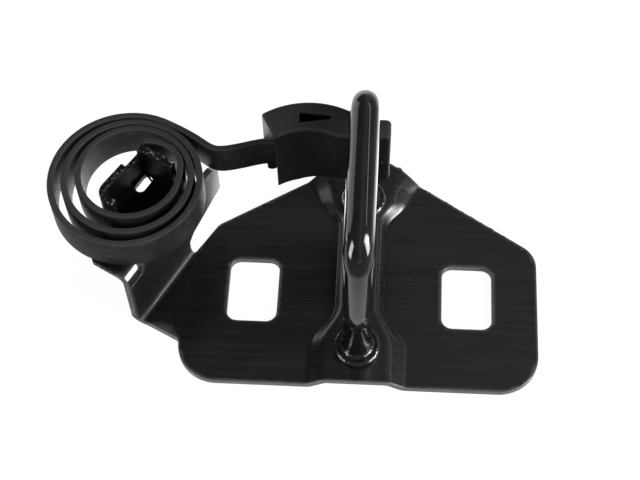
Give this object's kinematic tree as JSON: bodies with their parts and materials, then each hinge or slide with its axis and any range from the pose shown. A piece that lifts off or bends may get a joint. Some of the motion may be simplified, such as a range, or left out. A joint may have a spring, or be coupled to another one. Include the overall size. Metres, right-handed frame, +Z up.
{
  "type": "boot lid striker",
  "caption": "Pressed sheet plate with slotted fixing holes, a U-shaped bar for the lid's lock, and a flat spiral spring whose arm holds a moulded block inside the bar.",
  "frame": {"origin": "middle of the line between the two fixing holes, on the plate's underside", "axes": "+X across the plate away from the spring, +Y along the bar from its front leg to its back leg, +Z up off the mounting face, with the bar in the plane X = 0"},
  "size_m": [0.1365, 0.0742, 0.0622],
  "materials": {
    "coated_plate": "warm black coating over pressed and brushed sheet, satin, lighter where the cut edges show",
    "polished_bar": "smooth black coating on a round bar, gloss",
    "spring_strip": "dull dark coating on spring strip, rubbed at the rims",
    "moulded_block": "fine-grained moulded plastic, matt"
  },
  "bodies": {
    "base": {"striker_plate": "coated_plate", "striker_loop": "polished_bar", "spiral_spring": "spring_strip"},
    "arm": {"end_block": "moulded_block"}
  },
  "joints": [
    {"name": "arm_swing", "type": "hinge", "parent": "base", "child": "arm", "pos_m": [-0.064, 0.0145, 0.032], "axis": [0, 0, 1], "range_deg": [-28, 0], "stiffness_Nm_per_rad": 3.5, "springref_deg": 20.05, "deforming": ["spiral_spring"]}
  ]
}
